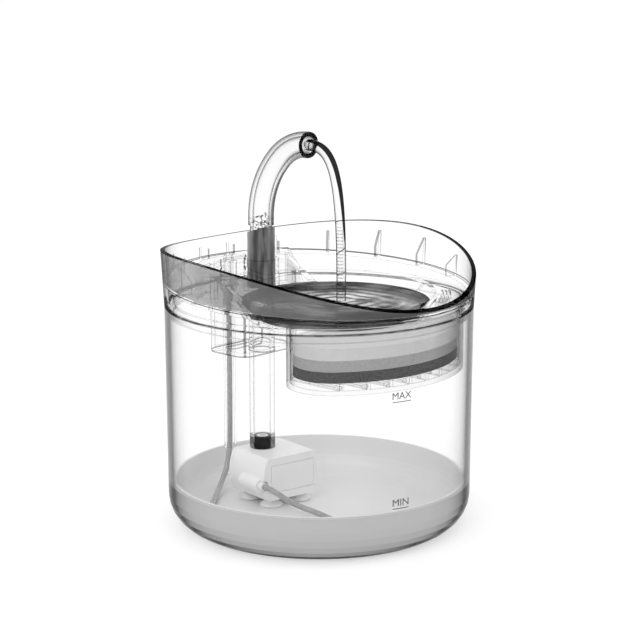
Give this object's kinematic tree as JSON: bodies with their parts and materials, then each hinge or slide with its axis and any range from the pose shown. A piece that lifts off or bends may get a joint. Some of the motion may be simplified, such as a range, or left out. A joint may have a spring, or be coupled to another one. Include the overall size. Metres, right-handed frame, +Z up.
{
  "type": "pet water fountain",
  "caption": "Round clear water fountain for pets: tank, drinking tray with pool, bent spout fed by a submerged pump, and a half-moon filter box.",
  "frame": {"origin": "centre of the tank's base, on the surface that it stands on", "axes": "+Z up, -Y to the front where the spout points, +X to the right as seen from the front"},
  "size_m": [0.1734, 0.1718, 0.2183],
  "materials": {
    "clear_plastic": "clear, polished",
    "spout_clear": "clear, polished",
    "white_liner": "smooth white",
    "pump_white": "satin white",
    "dark_rubber": "soft dark grey",
    "cup_rubber": "soft, clear",
    "lead_sheath": "pale grey",
    "connector_grey": "matt dark grey",
    "core_steel": "laminated",
    "coil_copper": "enamelled copper wire",
    "axle_ceramic": "white ceramic",
    "rotor_plastic": "moulded round a ferrite ring",
    "cotton": "white wadding",
    "resin_layer": "grey mat of resin beads",
    "carbon_layer": "black mat of carbon grains"
  },
  "bodies": {
    "tank": {"tank": "clear_plastic", "base_liner": "white_liner"},
    "tray": {"drinking_tray": "clear_plastic", "riser_tube": "spout_clear", "outlet_bush": "dark_rubber", "pump_housing": "pump_white", "pump_end_plate": "pump_white", "stator_core": "core_steel", "stator_coil": "coil_copper", "impeller_axle": "axle_ceramic", "axle_bushes": "dark_rubber", "suction_cups": "cup_rubber", "lead_gland": "cup_rubber", "pump_lead": "lead_sheath", "lead_connector": "connector_grey", "cable_guide": "clear_plastic"},
    "coupler": {"faucet_coupler": "dark_rubber"},
    "spout": {"spout_tube": "spout_clear", "spout_nozzle": "spout_clear"},
    "filter": {"filter_box": "clear_plastic", "filter_carbon": "carbon_layer", "filter_resin": "resin_layer", "filter_cotton": "cotton"},
    "pump_cover": {"pump_cover": "pump_white"},
    "impeller": {"impeller": "rotor_plastic"}
  },
  "joints": [
    {"name": "tray_lift", "type": "slide", "parent": "tank", "child": "tray", "axis": [0, 0, 1], "range_m": [0, 0.06]},
    {"name": "coupler_pull", "type": "slide", "parent": "tray", "child": "coupler", "axis": [0, 0, 1], "range_m": [0, 0.013]},
    {"name": "spout_swivel", "type": "hinge", "parent": "coupler", "child": "spout", "pos_m": [0, 0.0445, 0.163], "axis": [0, 0, 1], "range_deg": [-90, 90]},
    {"name": "filter_unclip", "type": "slide", "parent": "tray", "child": "filter", "axis": [0, 0, -1], "range_m": [0, 0.035]},
    {"name": "pump_cover_pull", "type": "slide", "parent": "tray", "child": "pump_cover", "axis": [0.1564, 0.9877, 0], "range_m": [0, 0.006]},
    {"name": "impeller_spin", "type": "hinge", "parent": "tray", "child": "impeller", "pos_m": [0.00336, 0.04397, 0.0217], "axis": [0.1564, 0.9877, 0], "continuous": true}
  ]
}
